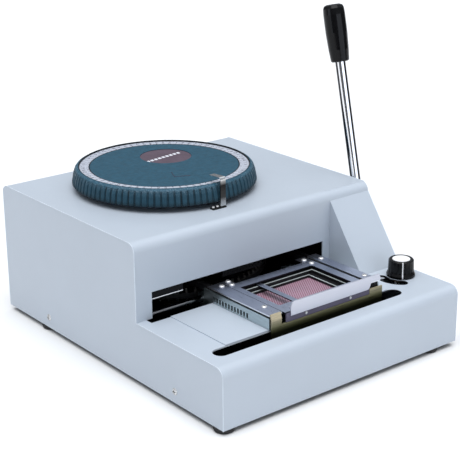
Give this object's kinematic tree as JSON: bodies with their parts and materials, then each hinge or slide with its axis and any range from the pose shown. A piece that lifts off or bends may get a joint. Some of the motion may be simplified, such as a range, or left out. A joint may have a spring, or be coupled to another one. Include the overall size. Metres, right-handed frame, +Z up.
{
  "type": "manual card embosser",
  "caption": "Hand-operated card embossing machine: sheet-metal case, large ribbed character dial with pointer, side pull lever, sliding card tray on a cross carriage, selector knob.",
  "frame": {"origin": "centre of the machine's footprint on the table, lever grip included", "axes": "+Z up, +X to the operator's right along the front, +Y from the front to the back"},
  "size_m": [0.3543, 0.412, 0.3565],
  "materials": {
    "cover_paint": "satin, smooth powder coat",
    "base_steel": "satin black",
    "foot_rubber": "matte",
    "screw_steel": "bright zinc",
    "ground_steel": "ground",
    "bearing_bronze": "machined",
    "cast_gray": "machined",
    "type_metal": "bright",
    "chrome": "polished",
    "black_plastic": "glossy black",
    "knob_silver": "spun disc",
    "dial_teal": "leather grain",
    "dial_white": "printed ring",
    "dial_maroon": "printed label",
    "yellow_zinc": "yellow passivated",
    "zinc_plate": "dull zinc",
    "tray_steel": "blued, brushed",
    "tray_dark": "dark satin",
    "flange_white": "satin silver",
    "card_pink": "printed card"
  },
  "bodies": {
    "chassis": {"cover": "cover_paint", "deck_plate": "cover_paint", "base_plate": "base_steel", "feet": "foot_rubber", "foot_screws": "screw_steel", "cover_screws": "screw_steel", "frame_lower_plate": "base_steel", "frame_side_plate": "base_steel", "frame_upper_plate": "base_steel", "guide_rods": "ground_steel", "rod_supports": "base_steel", "riser_brace": "base_steel", "stripper_bracket": "base_steel", "ram_guides": "bearing_bronze", "spindle_bearings": "bearing_bronze", "shaft_pedestals": "cast_gray", "panel_bushes": "bearing_bronze", "pointer_base": "base_steel", "pointer": "chrome", "pointer_screws": "screw_steel"},
    "dial": {"dial_body": "dial_teal", "dial_ring": "dial_white", "dial_label": "dial_maroon", "spindle": "ground_steel", "type_wheel_upper": "cast_gray", "type_wheel_lower": "cast_gray", "type_pins": "type_metal", "detent_wheel": "cast_gray"},
    "detent": {"detent_arm": "ground_steel"},
    "lever": {"lever_shaft": "ground_steel", "lever_hub": "chrome", "lever_rod": "chrome", "lever_grip": "black_plastic"},
    "link": {"press_link": "ground_steel"},
    "upper_press": {"upper_shaft": "ground_steel"},
    "ram_up": {"upper_ram": "ground_steel"},
    "ram_low": {"lower_ram": "ground_steel"},
    "carriage": {"front_plate": "yellow_zinc", "comb_plate": "zinc_plate", "side_plate": "zinc_plate", "tray_guides": "zinc_plate", "tray_rails": "tray_steel", "rear_carriage": "zinc_plate", "front_bearings": "zinc_plate", "rail_screws": "screw_steel"},
    "tray": {"tray_plate": "tray_steel", "card_step_frame": "tray_steel", "card_clamp_frame": "tray_steel", "card_holder": "tray_steel", "card": "card_pink", "card_stop_bar": "tray_steel", "tray_front": "tray_dark", "push_flange": "flange_white", "tray_screws": "screw_steel"},
    "pawl": {"line_pawl": "ground_steel"},
    "selector": {"knob": "black_plastic", "knob_trim": "knob_silver", "knob_spindle": "ground_steel"}
  },
  "joints": [
    {"name": "dial_turn", "type": "hinge", "parent": "chassis", "child": "dial", "pos_m": [-0.0306, 0.0835, 0.15], "axis": [0, 0, 1], "continuous": true},
    {"name": "detent_lift", "type": "hinge", "parent": "chassis", "child": "detent", "pos_m": [0.0234, 0.056, 0.128], "axis": [0, 0, -1], "range_deg": [0, 4], "stiffness_Nm_per_rad": 0.03, "springref_deg": -11.46},
    {"name": "lever_pull", "type": "hinge", "parent": "chassis", "child": "lever", "pos_m": [0.1644, -0.059, 0.036], "axis": [1, 0, 0], "range_deg": [0, 65], "stiffness_Nm_per_rad": 0.9, "springref_deg": -20.05},
    {"name": "link_swing", "type": "hinge", "parent": "lever", "child": "link", "pos_m": [0.1204, -0.04841, 0.02401], "axis": [1, 0, 0], "range_deg": [-66, 1]},
    {"name": "upper_shaft_turn", "type": "hinge", "parent": "chassis", "child": "upper_press", "pos_m": [0.1104, -0.0295, 0.1385], "axis": [1, 0, 0], "range_deg": [0, 65.5]},
    {"name": "upper_ram_press", "type": "slide", "parent": "chassis", "child": "ram_up", "axis": [0, 0, -1], "range_m": [0, 0.0031]},
    {"name": "lower_ram_press", "type": "slide", "parent": "chassis", "child": "ram_low", "axis": [0, 0, 1], "range_m": [0, 0.0031]},
    {"name": "carriage_slide", "type": "slide", "parent": "chassis", "child": "carriage", "axis": [1, 0, 0], "range_m": [-0.07, 0.017]},
    {"name": "tray_slide", "type": "slide", "parent": "carriage", "child": "tray", "axis": [0, 1, 0], "range_m": [0, 0.104]},
    {"name": "pawl_click", "type": "slide", "parent": "tray", "child": "pawl", "axis": [1, 0, 0], "range_m": [0, 0.0022], "stiffness_N_per_m": 40, "springref_m": -0.003},
    {"name": "selector_turn", "type": "hinge", "parent": "chassis", "child": "selector", "pos_m": [0.1326, -0.1417, 0.08], "axis": [0, 0, 1], "range_deg": [0, 70]}
  ],
  "couplings": [
    {"joint": "link_swing", "follows": "lever_pull", "ratio": -1},
    {"joint": "upper_shaft_turn", "follows": "lever_pull", "ratio": 1},
    {"joint": "upper_ram_press", "follows": "lever_pull", "m_per_rad": 0.0026522},
    {"joint": "lower_ram_press", "follows": "lever_pull", "m_per_rad": 0.0026522}
  ]
}
